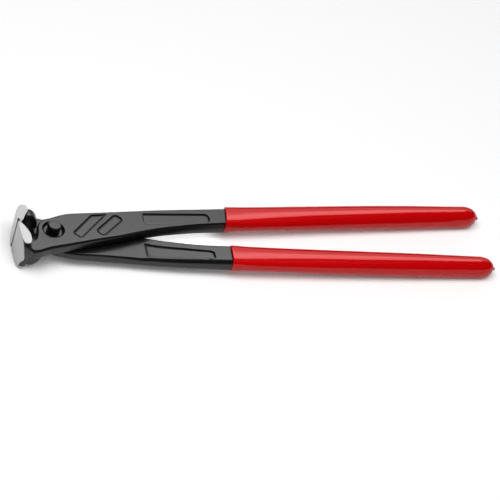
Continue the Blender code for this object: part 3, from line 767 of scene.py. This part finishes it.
class Paint:
    """A new material whose nodes are added one by one."""

    def __init__(self, name):
        self.material = bpy.data.materials.new(name)
        self.material.use_nodes = True
        self.tree = self.material.node_tree
        self.shader = self.tree.nodes["Principled BSDF"]

    def node(self, kind, settings=None, inputs=None, output=0):
        """Adds a node: settings first, then its sockets by name or in order, as values or links."""
        made = self.tree.nodes.new(kind)
        for key, setting in (settings or {}).items():
            setattr(made, key, setting)
        pairs = inputs.items() if isinstance(inputs, dict) else enumerate(inputs or [])
        for key, given in pairs:
            self.set(made.inputs[key], given)
        return Value(self, made.outputs[output])

    def set(self, socket, given):
        """Links a value to a socket, or writes a number or colour on it."""
        if isinstance(given, Value):
            self.tree.links.new(given.socket, socket)
        else:
            socket.default_value = given

    def colour(self, start, end, share):
        """A colour between two, by a share."""
        return self.node("ShaderNodeMix", {"data_type": "RGBA"}, {0: share, 6: start, 7: end}, output=2)

    def noise(self, place_at, scale, detail, roughness=0.5):
        """Cloudy noise over a place, about 0.5 in the middle; scale is in waves per metre."""
        return self.node("ShaderNodeTexNoise", {}, {"Vector": place_at, "Scale": scale,
                                                   "Detail": detail, "Roughness": roughness})

    def bump(self, height, distance, strength):
        """A normal from a height between 0 and 1 that stands for the given distance."""
        return self.node("ShaderNodeBump", {}, {"Height": height, "Distance": distance,
                                                "Strength": strength})

    def finish(self, **inputs):
        """Feeds the shader's own sockets, named with underscores for spaces."""
        for key, given in inputs.items():
            self.set(self.shader.inputs[key.replace("_", " ")], given)
        return self.material


# %% [markdown]
# The steel is one forging with two skins: satin black oxide with a fine sandy grain, and the bright
# ground faces of the jaw. A point attribute worked out from the mesh says which is which. The border
# of the ground front is a curve over the height. The notch keeps the dark skin as painted shade,
# which stands in for the shadow in that groove.

# %% Where the steel is ground
UPPER_BORDER = ((-12, -8.3, -5.8, -4, -3, 0, 9, 12), (0.8, 1.4, 1.9, 3.1, 3.43, 2.86, 1.14, 0.6))
LOWER_BORDER = ((-12, 12), (6.2, 2.4))
LEAF_MARGIN, LEAF_DEPTH = -0.3, 8.6
FRONT_LEAN, FRONT_DEPTH = -0.15, 5
SHADED_NOTCH_DEPTH, SHADED_NOTCH_REACH = 0.07, 4.2


def mark_ground(made, turn, border_points):
    """Writes bright: 1 on the jaw's ground front and ends, 0 on the forged skin and as painted shade in
    the notch.
    """
    mesh = made.data
    x, y, z = (read(mesh.vertices, "co", 3) / MM - pivot).T
    x, reach, z = x - NOSE_X, np.abs(y), z * turn
    facing = read(mesh.vertices, "normal", 3)[:, 0]
    leaf = np.abs(z) - (JAW_HALF - LEAF_FALL * reach / JAW_REACH)
    on_leaf = (leaf > LEAF_MARGIN) & (x < LEAF_DEPTH)
    # The notch stays dark as painted shade: its oxide stands in for the shadow in the groove.
    notch_painted_shade = (x > SHADED_NOTCH_DEPTH) & (reach < SHADED_NOTCH_REACH)
    before_border = (x < curve(*border_points, z)) & (x < FRONT_DEPTH)
    on_front = (facing < FRONT_LEAN) & before_border & ~notch_painted_shade
    bright = (on_leaf | on_front).astype(np.float32)
    attribute = mesh.attributes.new("bright", "FLOAT", "POINT")
    attribute.data.foreach_set("value", bright)
    return int(bright.sum())


print("ground points:", mark_ground(upper_forging, 1, UPPER_BORDER),
      mark_ground(lower_forging, -1, LOWER_BORDER))

# %% [markdown]
# The oxide is nearly black, and its look comes from the soft box that lies mirrored in it, blurred
# by the grain. The ground faces have fine lines across the tool. The far jaw's front looks a little
# brighter, so the lower forging's ground faces get a paler tone than the upper's: painted
# reflection, standing in for the brighter floor that they mirror further from the shadow.

# %% Steel finish
OXIDE_DARK, OXIDE_PALE = (0.0035, 0.0035, 0.0037, 1), (0.0065, 0.0065, 0.0068, 1)
OXIDE_SPECULAR = 0.58
# The lower tone is paler as painted reflection, for the brighter floor that the far jaw mirrors.
UPPER_TONE, LOWER_TONE_WITH_PAINTED_REFLECTION = 0.54, 0.66


LINE_DARK, LINE_PALE = (0.9, 0.9, 0.91), (1.1, 1.1, 1.1)


def toned(shares, tone):
    """A colour from shares of a tone: each of red, green and blue is its share times the tone."""
    return *(share * tone for share in shares), 1


def steel(name, tone):
    """Black oxide and ground steel of the given brightness, mixed by the attribute bright."""
    paint = Paint(name)
    place_at = paint.node("ShaderNodeTexCoord", {}, {}, output="Object")
    bright = paint.node("ShaderNodeAttribute", {"attribute_name": "bright"}, {}, output="Fac")
    bright = bright.between(0.35, 0.65)
    cloud = paint.noise(place_at, 60, 3)
    grain = paint.noise(place_at, 2600, 2, 0.6)
    pits = paint.noise(place_at, 900, 2, 0.5).between(0.62, 0.75)
    stretched = paint.node("ShaderNodeMapping", {}, {"Vector": place_at, "Scale": (1.0, 0.06, 1.0)})
    lines = paint.noise(stretched, 5000, 2, 0.6)
    dark = paint.colour(OXIDE_DARK, OXIDE_PALE, cloud)
    pale = paint.colour(toned(LINE_DARK, tone), toned(LINE_PALE, tone), lines)
    rough = (0.25 + 0.08 * grain + 0.08 * pits) * (1 - bright) + (0.42 + 0.12 * lines) * bright
    height = grain * (1 - bright) + lines * bright * 0.6
    return paint.finish(Base_Color=paint.colour(dark, pale, bright), Roughness=rough,
                        Metallic=bright, Specular_IOR_Level=OXIDE_SPECULAR,
                        Normal=paint.bump(height, 0.00003, 0.6))


for made, tone in ((upper_forging, UPPER_TONE), (lower_forging, LOWER_TONE_WITH_PAINTED_REFLECTION)):
    made.data.materials.clear()
    made.data.materials.append(steel(made.name + "_steel", tone))

# %% [markdown]
# The rivet's face was turned before it was blackened, which leaves faint rings. A sine of the
# distance from the joint's axis draws them as a bump.

# %% Rivet finish
RINGS_PER_METRE = 14000


def rivet_finish():
    """Turned oxide face: faint rings about the joint's axis over a fine grain."""
    paint = Paint("rivet_finish")
    place_at = paint.node("ShaderNodeTexCoord", {}, {}, output="Object")
    centred = paint.node("ShaderNodeMapping", {}, {"Vector": place_at,
                                                   "Location": tuple(-pivot * MM)})
    flat = paint.node("ShaderNodeVectorMath", {"operation": "MULTIPLY"}, [centred, (1, 1, 0)])
    radius = paint.node("ShaderNodeVectorMath", {"operation": "LENGTH"}, [flat], output="Value")
    rings = (radius * RINGS_PER_METRE).math("SINE") * 0.5 + 0.5
    grain = paint.noise(place_at, 2400, 2, 0.6)
    tone = paint.colour(OXIDE_DARK, OXIDE_PALE, grain)
    relief = rings * 0.4 + grain * 0.6
    return paint.finish(Base_Color=tone, Roughness=0.26 + 0.08 * grain,
                        Specular_IOR_Level=OXIDE_SPECULAR, Normal=paint.bump(relief, 0.00002, 0.5))


rivet.data.materials.append(rivet_finish())

# %% [markdown]
# The grips are thick glossy vinyl. A dip cools with a very faint orange-peel skin, and the colour
# is a little deeper where the coat is thick. The gloss is tinted red, because light that enters the
# clear skin of the vinyl and comes back near the mirror angle has taken on its colour.

# %% Vinyl finish
RED_DEEP, RED_LIGHT = (0.53, 0.001, 0.002, 1), (0.60, 0.0015, 0.003, 1)
GLOSS_TINT = (1.0, 0.4, 0.4, 1.0)


def vinyl():
    """Glossy red with a faint cloud, fine orange peel and a few dull handling marks."""
    paint = Paint("red_vinyl_finish")
    place_at = paint.node("ShaderNodeTexCoord", {}, {}, output="Object")
    cloud = paint.noise(place_at, 45, 3)
    peel = paint.noise(place_at, 420, 2, 0.4)
    marks = paint.noise(place_at, 130, 4, 0.6).between(0.55, 0.75)
    tone = paint.colour(RED_DEEP, RED_LIGHT, cloud)
    return paint.finish(Base_Color=tone, Roughness=0.14 + 0.06 * marks, Specular_IOR_Level=0.8,
                        Specular_Tint=GLOSS_TINT, Normal=paint.bump(peel, 0.00002, 0.35))


red = vinyl()
upper_sleeve.data.materials.append(red)
lower_sleeve.data.materials.append(red)

# %% [markdown]
# Each piece rides on its lever's body and stands for the CAD node it dresses.

# %% Bodies and nodes
PIECES = ((upper_forging, "upper_half", "upper_lever", "black_steel"),
          (lower_forging, "lower_half", "lower_lever", "black_steel"),
          (rivet, "upper_half", "joint_rivet", "rivet_steel"),
          (upper_sleeve, "upper_half", "upper_grip", "red_vinyl"),
          (lower_sleeve, "lower_half", "lower_grip", "red_vinyl"))
for made, body, node, slot in PIECES:
    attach(made, body)
    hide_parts(node)

# %% [markdown]
# The tool lies on its two jaws and on its grips, so the floor leans 1.3 degrees against the joint's
# plane. It is a pale matt sheet that keeps the shadow. To the camera and in reflections it is a
# little whiter, and for the camera alone it glows faintly. Between the arms it has painted light as
# well: a stronger glow that lifts the arms' shadow off the floor there.

# %% Floor
JAW_REST, GRIP_REST = (-0.1475, -0.01235), (0.075, -0.0073)
FLOOR_REACH, FLOOR_DROP = 6.0, 0.0001
slope = (GRIP_REST[1] - JAW_REST[1]) / (GRIP_REST[0] - JAW_REST[0])
floor_x, floor_y = (np.array([(-1, -1), (1, -1), (1, 1), (-1, 1)]) * FLOOR_REACH).T
floor_z = JAW_REST[1] - FLOOR_DROP + (floor_x - JAW_REST[0]) * slope
floor_points = np.stack([floor_x, floor_y, floor_z], -1)
floor = mesh_object("floor", floor_points / MM, [[0, 1, 2, 3]])
print("floor leans", round(math.degrees(math.atan(slope)), 2), "degrees")

# %% Floor finish
FLOOR_BOUNCE, FLOOR_SEEN = (0.75, 0.75, 0.75, 1), (0.9, 0.9, 0.9, 1)
GLOW, GAP_PAINTED_LIGHT = 0.14, 0.6
GAP_CENTRE, GAP_HALF = (-0.043, 0.0105, 0.0), (0.030, 0.016)


def floor_finish():
    """A matt floor: grey for bounced light, paler for gloss and the camera, painted light between arms.
    """
    paint = Paint("floor_finish")
    path = paint.tree.nodes.new("ShaderNodeLightPath")
    camera = Value(paint, path.outputs["Is Camera Ray"])
    seen = camera.math("MAXIMUM", Value(paint, path.outputs["Is Glossy Ray"]))
    seen = seen.math("MAXIMUM", Value(paint, path.outputs["Is Transmission Ray"]))
    pale = paint.colour(FLOOR_BOUNCE, FLOOR_SEEN, seen)
    place_at = paint.node("ShaderNodeTexCoord", {}, {}, output="Object")
    offset = paint.node("ShaderNodeVectorMath", {"operation": "SUBTRACT"}, [place_at, GAP_CENTRE])
    scaled = paint.node("ShaderNodeVectorMath", {"operation": "MULTIPLY"},
                        [offset, (1 / GAP_HALF[0], 1 / GAP_HALF[1], 0)])
    away = paint.node("ShaderNodeVectorMath", {"operation": "LENGTH"}, [scaled], output="Value")
    # Painted light: a stronger glow between the arms that lifts their shadow off the floor.
    painted_light_share = away.between(1.0, 0.45)
    glow_and_painted_light = paint.colour((0, 0, 0, 1), (1, 1, 1, 1), camera * (GLOW + GAP_PAINTED_LIGHT * painted_light_share))
    return paint.finish(Base_Color=pale, Roughness=1.0, Specular_IOR_Level=0.0,
                        Emission_Color=glow_and_painted_light, Emission_Strength=1.0)


floor.data.materials.append(floor_finish())

# %% [markdown]
# A large soft box stands above and behind the tool. Its mirror image lies on every level face,
# which makes the black oxide look grey. It is seen in reflections alone, so that its strength sets
# the gloss and nothing else. A weaker box in the same place and a wide one overhead give the plain
# light, a long low one behind brightens the rims, and the world stays dim, so upright walls stay
# dark.

# %% Lights
MAIN_PLACE, MAIN_WIDTH, MAIN_DEPTH = (0.292, 0.655, 1.084), 0.8, 0.624
MAIN_RADIANCE, KEY_RADIANCE = 3.85, 1.2
WORLD_STRENGTH = 0.02


def soft_box(name, place_at, width, depth, radiance):
    """An area lamp that faces the tool's middle and gives the radiance that its mirror image shows."""
    lamp = bpy.data.lights.new(name, "AREA")
    lamp.shape = "RECTANGLE"
    lamp.size, lamp.size_y = width, depth
    lamp.energy = radiance * math.pi * width * depth
    made = bpy.data.objects.new(name, lamp)
    made.location = place_at
    made.rotation_euler = (-Vector(place_at)).to_track_quat("-Z", "Y").to_euler()
    bpy.context.scene.collection.objects.link(made)
    return made


main = soft_box("main_box", MAIN_PLACE, MAIN_WIDTH, MAIN_DEPTH, MAIN_RADIANCE)
main.visible_diffuse = False
soft_box("back_wall", (0.555, 1.246, 0.836), 2.0, 0.651, 0.95)
key = soft_box("key", MAIN_PLACE, MAIN_WIDTH, MAIN_DEPTH, KEY_RADIANCE)
key.visible_glossy = False
fill = soft_box("top_fill", (-0.2, -0.3, 1.3), 1.4, 1.0, 4.95)
fill.visible_glossy = False
world = bpy.data.worlds.new("studio")
bpy.context.scene.world = world
world.use_nodes = True
background = world.node_tree.nodes["Background"]
background.inputs["Color"].default_value = (1, 1, 1, 1)
background.inputs["Strength"].default_value = WORLD_STRENGTH

# %% [markdown]
# The camera was fitted to the photograph by matching points of the tool: it looks down at about 42
# degrees from the side of the lower grip, through a long lens.

# %% Camera
CAMERA_LENS, SENSOR_WIDTH, CLIP_END = 295.27, 36, 100
CAMERA_PLACE = (-0.7504, -1.6839, 1.6765)
CAMERA_TURN = Matrix(((0.95383, -0.01299, -0.30007),
                      (-0.20245, 0.7102, -0.67426),
                      (0.22187, 0.70388, 0.67478)))
view = bpy.data.cameras.new("camera")
view.lens, view.sensor_width, view.clip_end = CAMERA_LENS, SENSOR_WIDTH, CLIP_END
camera = bpy.data.objects.new("camera", view)
camera.matrix_world = Matrix.Translation(CAMERA_PLACE) @ CAMERA_TURN.to_4x4()
bpy.context.scene.collection.objects.link(camera)
bpy.context.scene.camera = camera
bpy.context.scene.view_settings.view_transform = "Standard"
